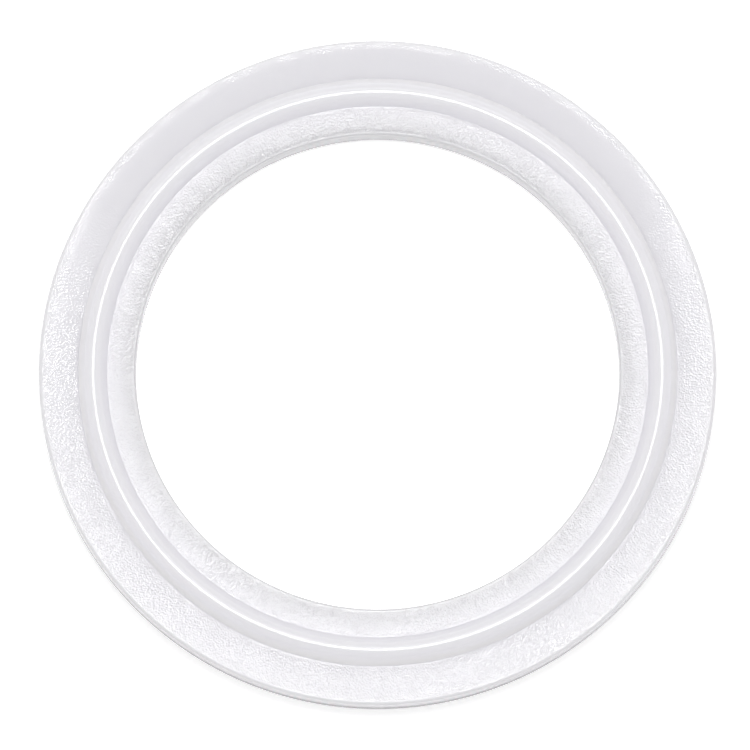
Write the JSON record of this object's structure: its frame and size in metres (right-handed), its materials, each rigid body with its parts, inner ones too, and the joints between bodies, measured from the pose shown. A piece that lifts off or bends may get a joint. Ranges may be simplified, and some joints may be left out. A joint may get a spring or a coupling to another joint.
{
  "type": "sanitary clamp gasket",
  "caption": "One-piece silicone seal ring with a round-crowned bead on both faces, for the joint between two sanitary clamp ferrules.",
  "frame": {"origin": "centre of the ring on its mid-plane, on the bore axis", "axes": "+Z along the bore axis, out of one face; the ring is the same all round and on both faces, so +X and +Y are free"},
  "size_m": [0.0516, 0.0516, 0.004],
  "materials": {
    "silicone": "satin, translucent white"
  },
  "bodies": {
    "root": {"gasket_ring": "silicone"}
  },
  "joints": []
}
